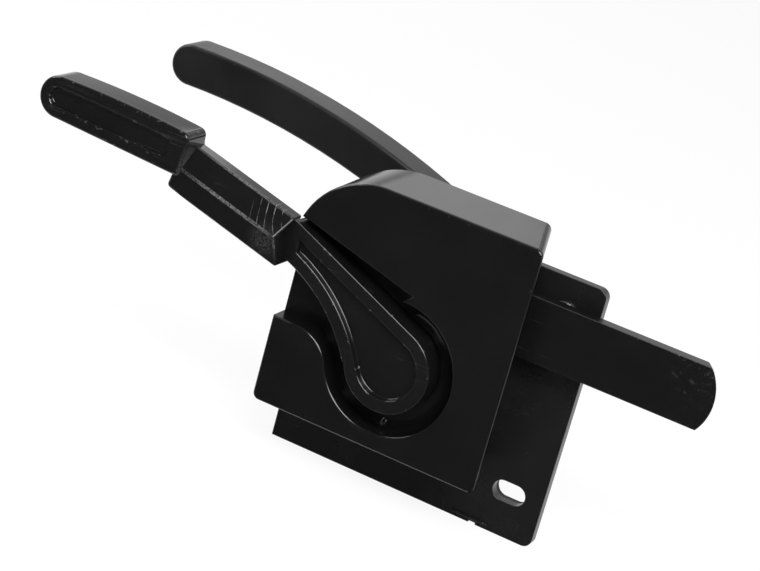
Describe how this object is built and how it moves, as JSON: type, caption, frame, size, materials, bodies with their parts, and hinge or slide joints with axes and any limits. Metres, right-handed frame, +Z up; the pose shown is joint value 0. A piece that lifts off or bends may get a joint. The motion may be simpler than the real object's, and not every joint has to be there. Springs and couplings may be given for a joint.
{
  "type": "lever latch",
  "caption": "Surface-mounted door latch: moulded case on a steel plate, curved lever on each side of the door, and a flat sliding bolt drawn back by a crank on the spindle",
  "frame": {"origin": "spindle axis, in the plane of the door face (back of the gasket)", "axes": "+X along the bolt, out of the case; +Y into the door; +Z up"},
  "size_m": [0.3036, 0.1078, 0.1339],
  "materials": {
    "case_plastic": "moulded gloss black",
    "lever_gloss": "gloss black, worn on the ridge",
    "lever_satin": "satin black",
    "plate_paint": "semi-gloss black powder coat",
    "bolt_paint": "semi-gloss black, rubbed at the end",
    "gasket_rubber": "matt",
    "zinc_steel": "zinc plated",
    "spring_steel": "drawn wire",
    "dark_steel": "pickled and oiled",
    "bronze": "sintered bronze",
    "nylon": "natural nylon"
  },
  "bodies": {
    "frame": {"mounting_plate": "plate_paint", "gasket": "gasket_rubber", "clinch_nuts": "zinc_steel", "case": "case_plastic", "case_screws": "zinc_steel", "front_bush": "bronze", "rear_bush": "bronze", "bolt_guide": "nylon", "stop_pins": "zinc_steel", "spring_rod": "zinc_steel", "return_spring": "spring_steel"},
    "lever": {"front_lever": "lever_gloss", "roll_pin": "dark_steel", "spindle": "zinc_steel", "thrust_washer": "nylon", "crank": "dark_steel", "crank_pin": "zinc_steel", "crank_roller": "nylon", "retaining_ring": "spring_steel", "rear_lever": "lever_satin", "rear_washer": "zinc_steel", "rear_screw": "zinc_steel"},
    "bolt_bar": {"bolt": "bolt_paint", "spring_cup": "zinc_steel"}
  },
  "joints": [
    {"name": "lever_turn", "type": "hinge", "parent": "frame", "child": "lever", "pos_m": [0, 0, 0], "axis": [0, -1, 0], "range_deg": [0, 20], "stiffness_Nm_per_rad": 2, "springref_deg": -34.38},
    {"name": "bolt_slide", "type": "slide", "parent": "frame", "child": "bolt_bar", "axis": [-1, 0, 0], "range_m": [0, 0.0122], "deforming": ["return_spring"]}
  ],
  "couplings": [
    {"joint": "bolt_slide", "follows": "lever_turn", "m_per_rad": 0.033828}
  ]
}
